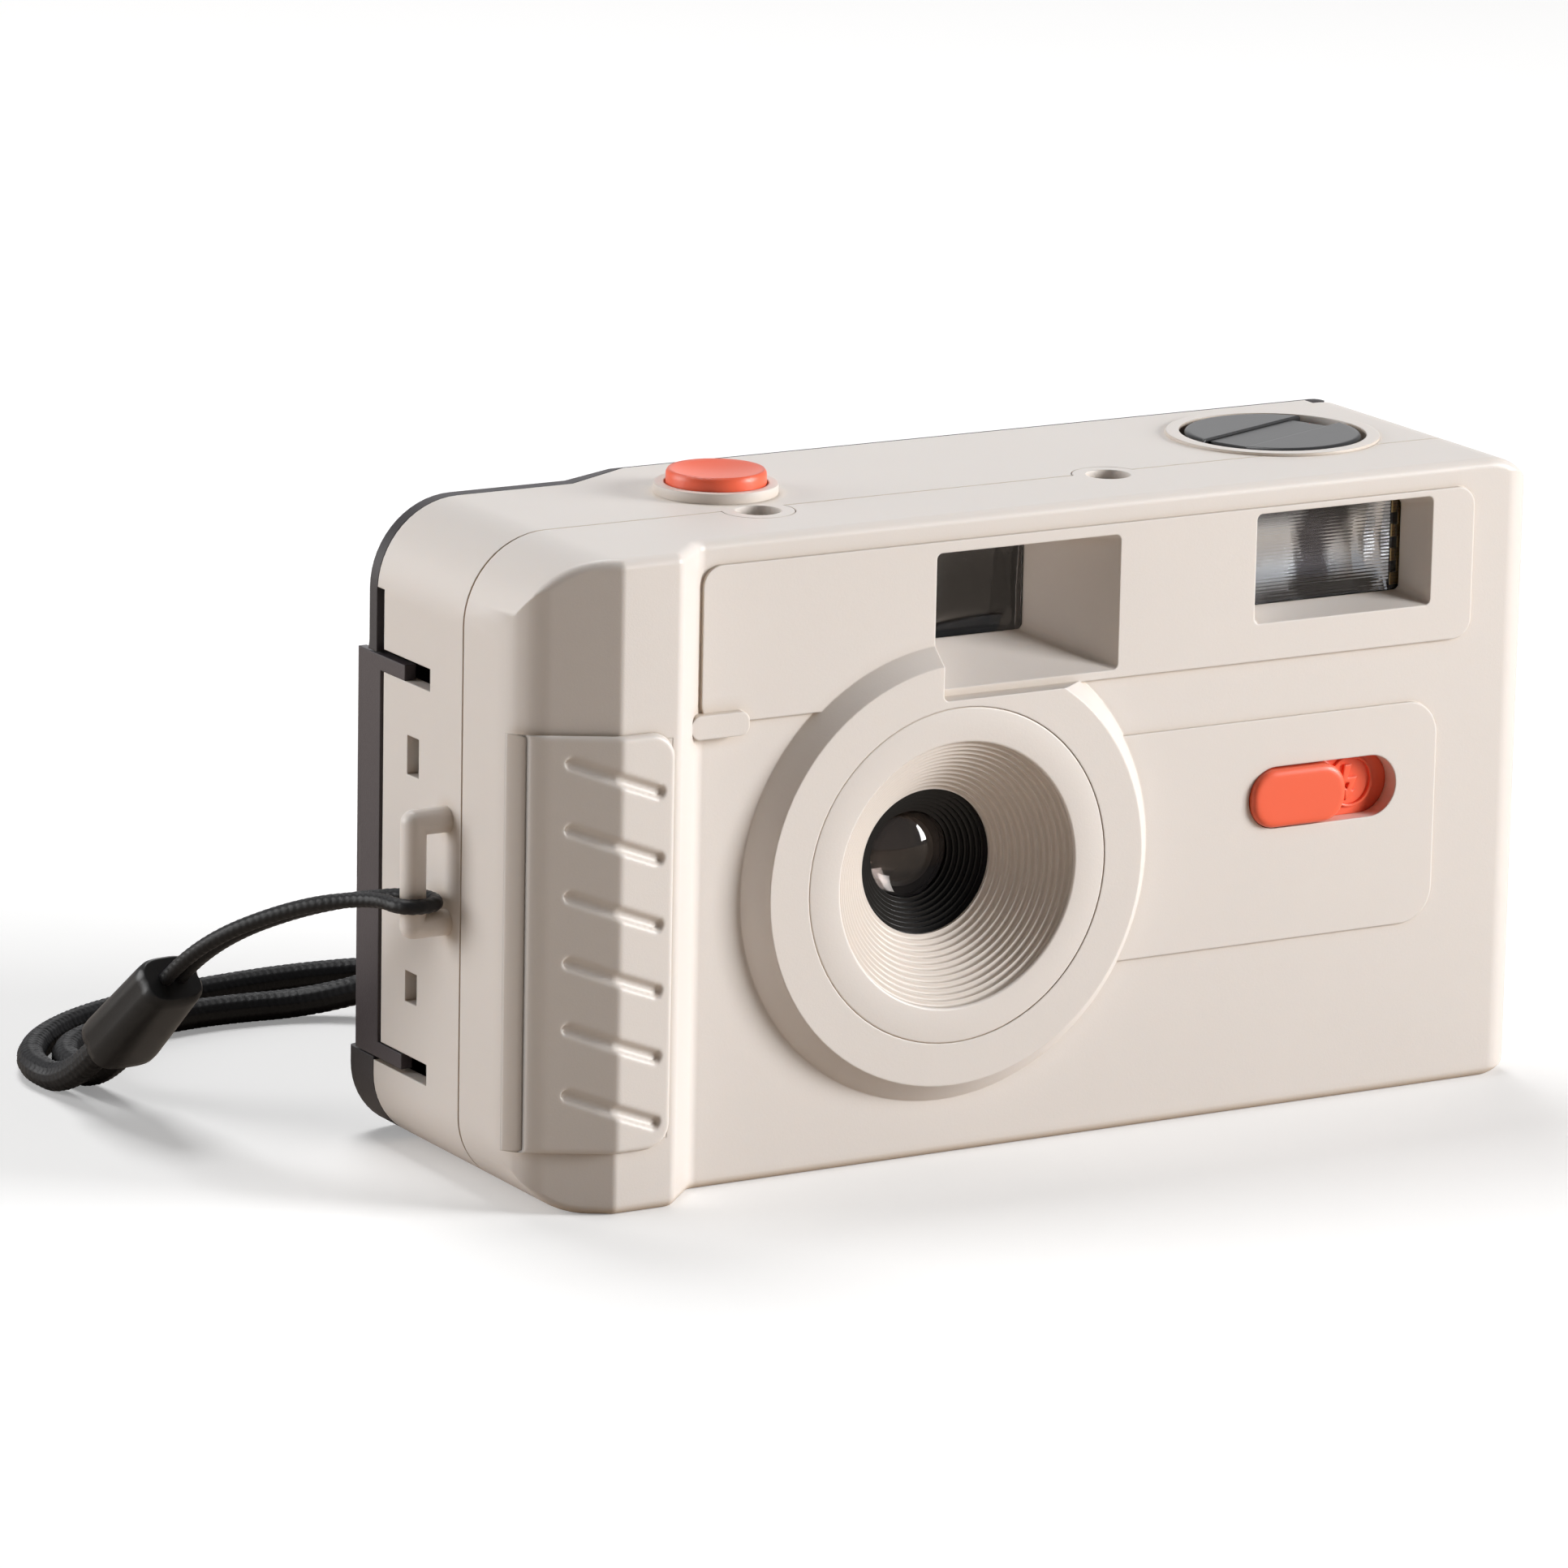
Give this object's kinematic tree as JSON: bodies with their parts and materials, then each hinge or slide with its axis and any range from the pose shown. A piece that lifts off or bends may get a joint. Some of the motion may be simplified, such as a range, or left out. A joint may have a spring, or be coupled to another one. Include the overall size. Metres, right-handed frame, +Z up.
{
  "type": "reusable film camera",
  "caption": "Compact reusable film camera with a stepped lens surround, flash, sliding switch, rewind crank, hinged back with side latch, battery grip and a wrist strap.",
  "frame": {"origin": "centre of the bottom of the camera body, halfway between the grip panel's face and the door's face and halfway between the strap lug and the right side", "axes": "+X to the right as seen from the front, +Y from the lens to the back, +Z up"},
  "size_m": [0.1351, 0.0877, 0.0653],
  "materials": {
    "shell": "satin moulded, light warm grey",
    "black_plastic": "matt black moulded",
    "black_satin": "satin black moulded",
    "grey_plastic": "dark grey, finely textured",
    "white_plastic": "satin white",
    "orange_plastic": "semi-gloss orange-red",
    "clear_plastic": "clear moulded acrylic",
    "lens_glass": "polished and clear",
    "lamp": "tinted clear",
    "reflector": "bright, faceted",
    "dark_steel": "blackened",
    "spring_steel": "plain spring steel",
    "screw_steel": "zinc-plated steel",
    "board": "laminated board",
    "capacitor_sleeve": "shrunk sleeve",
    "transformer": "taped winding",
    "foam": "soft black foam",
    "cord": "braided black cord",
    "ferrule_plastic": "satin black moulded rubber"
  },
  "bodies": {
    "camera": {"front_cover": "shell", "rear_cover": "shell", "lens_funnel": "shell", "lens_barrel": "black_plastic", "front_lens": "lens_glass", "lens_spacer": "black_plastic", "rear_lens": "lens_glass", "shutter_plate": "black_plastic", "button_spring": "spring_steel", "chassis": "black_plastic", "case_screws": "screw_steel", "viewfinder_lens": "clear_plastic", "viewfinder_tunnel": "black_plastic", "flash_window": "clear_plastic", "flash_frame": "black_plastic", "flash_reflector": "reflector", "flash_tube": "lens_glass", "flash_board": "board", "flash_capacitor": "capacitor_sleeve", "flash_transformer": "transformer", "battery_contact_top": "spring_steel", "battery_contact_bottom": "spring_steel", "hinge_pin": "spring_steel", "strap_cord_thin": "cord", "strap_ferrule": "ferrule_plastic", "strap_loop_thick": "cord"},
    "shutter_button": {"shutter_button": "orange_plastic"},
    "release_lever": {"release_lever": "black_plastic"},
    "shutter_blade": {"shutter_blade": "dark_steel"},
    "advance": {"take_up_spool": "black_plastic", "advance_wheel": "grey_plastic"},
    "sprocket": {"sprocket_wheel": "black_plastic"},
    "counter": {"counter_dial": "white_plastic"},
    "rewind_release": {"rewind_release_button": "grey_plastic"},
    "rewind_lift": {"rewind_sleeve": "black_plastic"},
    "rewind_turn": {"rewind_shaft": "black_plastic", "rewind_knob": "black_satin", "crank_pin": "spring_steel"},
    "crank": {"crank_arm": "black_satin"},
    "flash_switch": {"flash_switch": "orange_plastic", "switch_contact": "spring_steel"},
    "battery_door": {"battery_door": "shell"},
    "door": {"back_cover": "grey_plastic", "viewfinder_eyepiece": "clear_plastic", "film_window": "clear_plastic", "counter_window": "clear_plastic", "ready_lamp": "lamp", "latch_pin": "spring_steel", "light_seals": "foam", "plate_spring": "spring_steel"},
    "pressure_plate": {"pressure_plate": "black_plastic"},
    "latch": {"latch": "grey_plastic"}
  },
  "joints": [
    {"name": "button_press", "type": "slide", "parent": "camera", "child": "shutter_button", "axis": [0, 0, -1], "range_m": [0, 0.0016], "stiffness_N_per_m": 500, "springref_m": -0.0004, "deforming": ["button_spring"]},
    {"name": "lever_swing", "type": "hinge", "parent": "camera", "child": "release_lever", "pos_m": [-0.0175, -0.00022, 0.0515], "axis": [0, -1, 0], "range_deg": [0, 17.5]},
    {"name": "blade_swing", "type": "hinge", "parent": "camera", "child": "shutter_blade", "pos_m": [-0.0145, -0.00237, 0.0412], "axis": [0, 1, 0], "range_deg": [0, 28]},
    {"name": "advance_spin", "type": "hinge", "parent": "camera", "child": "advance", "pos_m": [-0.04, 0.00528, 0.05], "axis": [0, 0, 1], "continuous": true},
    {"name": "sprocket_spin", "type": "hinge", "parent": "camera", "child": "sprocket", "pos_m": [-0.0276, 0.00827, 0.04], "axis": [0, 0, 1], "continuous": true},
    {"name": "counter_spin", "type": "hinge", "parent": "camera", "child": "counter", "pos_m": [-0.0178, 0.00967, 0.05], "axis": [0, 0, 1], "continuous": true},
    {"name": "rewind_release_press", "type": "slide", "parent": "camera", "child": "rewind_release", "axis": [0, 0, 1], "range_m": [0, 0.0014], "stiffness_N_per_m": 250, "springref_m": -0.0003},
    {"name": "rewind_lift_slide", "type": "slide", "parent": "camera", "child": "rewind_lift", "axis": [0, 0, 1], "range_m": [0, 0.0065]},
    {"name": "rewind_spin", "type": "hinge", "parent": "rewind_lift", "child": "rewind_turn", "pos_m": [0.0406, 0.00487, 0.06], "axis": [0, 0, 1], "continuous": true},
    {"name": "crank_flip", "type": "hinge", "parent": "rewind_turn", "child": "crank", "pos_m": [0.04653, 0.00727, 0.0622], "axis": [-0.3746, 0.9272, 0], "range_deg": [0, 130]},
    {"name": "flash_switch_slide", "type": "slide", "parent": "camera", "child": "flash_switch", "axis": [1, 0, 0], "range_m": [0, 0.0056]},
    {"name": "battery_door_slide", "type": "slide", "parent": "camera", "child": "battery_door", "axis": [0, 0, -1], "range_m": [0, 0.004]},
    {"name": "door_swing", "type": "hinge", "parent": "camera", "child": "door", "pos_m": [0.0556, 0.01717, 0.03], "axis": [0, 0, -1], "range_deg": [0, 104]},
    {"name": "pressure_plate_press", "type": "slide", "parent": "door", "child": "pressure_plate", "axis": [0, 1, 0], "range_m": [0, 0.0004], "stiffness_N_per_m": 300, "springref_m": -0.001, "deforming": ["plate_spring"]},
    {"name": "latch_swing", "type": "hinge", "parent": "door", "child": "latch", "pos_m": [-0.0531, 0.01758, 0.028], "axis": [0, 0, -1], "range_deg": [0, 35], "stiffness_Nm_per_rad": 0.004, "springref_deg": -5.73}
  ],
  "couplings": [
    {"joint": "lever_swing", "follows": "button_press", "rad_per_m": 189.81},
    {"joint": "blade_swing", "follows": "button_press", "rad_per_m": 299.98},
    {"joint": "sprocket_spin", "follows": "advance_spin", "ratio": 1.7778},
    {"joint": "counter_spin", "follows": "advance_spin", "ratio": -0.033333}
  ]
}
